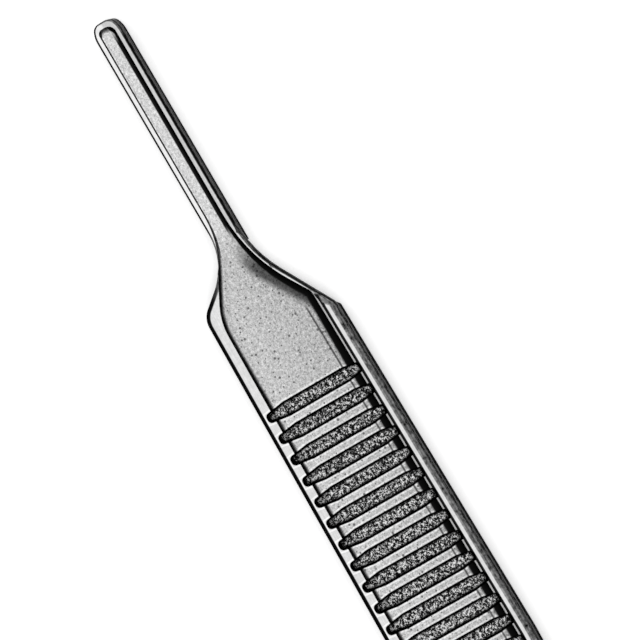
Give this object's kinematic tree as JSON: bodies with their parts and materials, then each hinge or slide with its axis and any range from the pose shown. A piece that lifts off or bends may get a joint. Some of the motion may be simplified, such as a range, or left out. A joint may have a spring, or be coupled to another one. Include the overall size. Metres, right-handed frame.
{
  "type": "scalpel handle",
  "caption": "Flat forged steel scalpel handle with a slim rimmed tongue for a slotted blade, an oblique shoulder and a sunken grip panel crossed by boat-shaped grooves.",
  "frame": {"origin": "middle of the length and width, on the flat underside (the blade side) that the handle rests on", "axes": "-X towards the blade end, +X towards the butt, +Y towards the side with the gentler neck, +Z out of the upper face, away from the blade side"},
  "size_m": [0.125, 0.0104, 0.0028],
  "materials": {
    "steel": "satin polished rims and sides, fine stippled panel floor, dark granular grooves"
  },
  "bodies": {
    "root": {"handle": "steel"}
  },
  "joints": []
}
